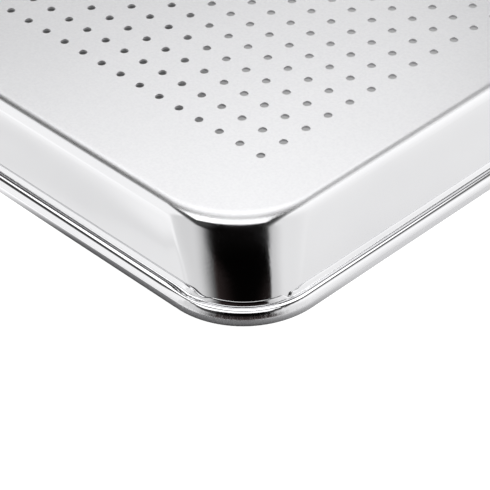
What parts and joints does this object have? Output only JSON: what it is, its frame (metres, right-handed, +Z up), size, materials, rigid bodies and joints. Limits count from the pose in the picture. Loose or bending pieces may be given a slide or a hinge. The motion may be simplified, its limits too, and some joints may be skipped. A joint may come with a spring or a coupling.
{
  "type": "perforated sheet pan",
  "caption": "Shallow rectangular baking tray of perforated aluminium sheet, with flared walls and a rolled rim closed round a steel wire, lying upside down on its rim.",
  "frame": {"origin": "middle of the pan's footprint, on the plane that its rim rests on: the pan is stored upside down, as it lies on a table with its floor uppermost", "axes": "+X along the long side, +Y along the short side, +Z up, from the rim to the outer face of the floor"},
  "size_m": [0.4556, 0.3356, 0.0286],
  "materials": {
    "pan_aluminium": "satin rolled floor, pressed and polished walls and rim",
    "rim_wire_steel": "drawn galvanised wire"
  },
  "bodies": {
    "root": {"pan_shell": "pan_aluminium", "rim_wire": "rim_wire_steel"}
  },
  "joints": []
}
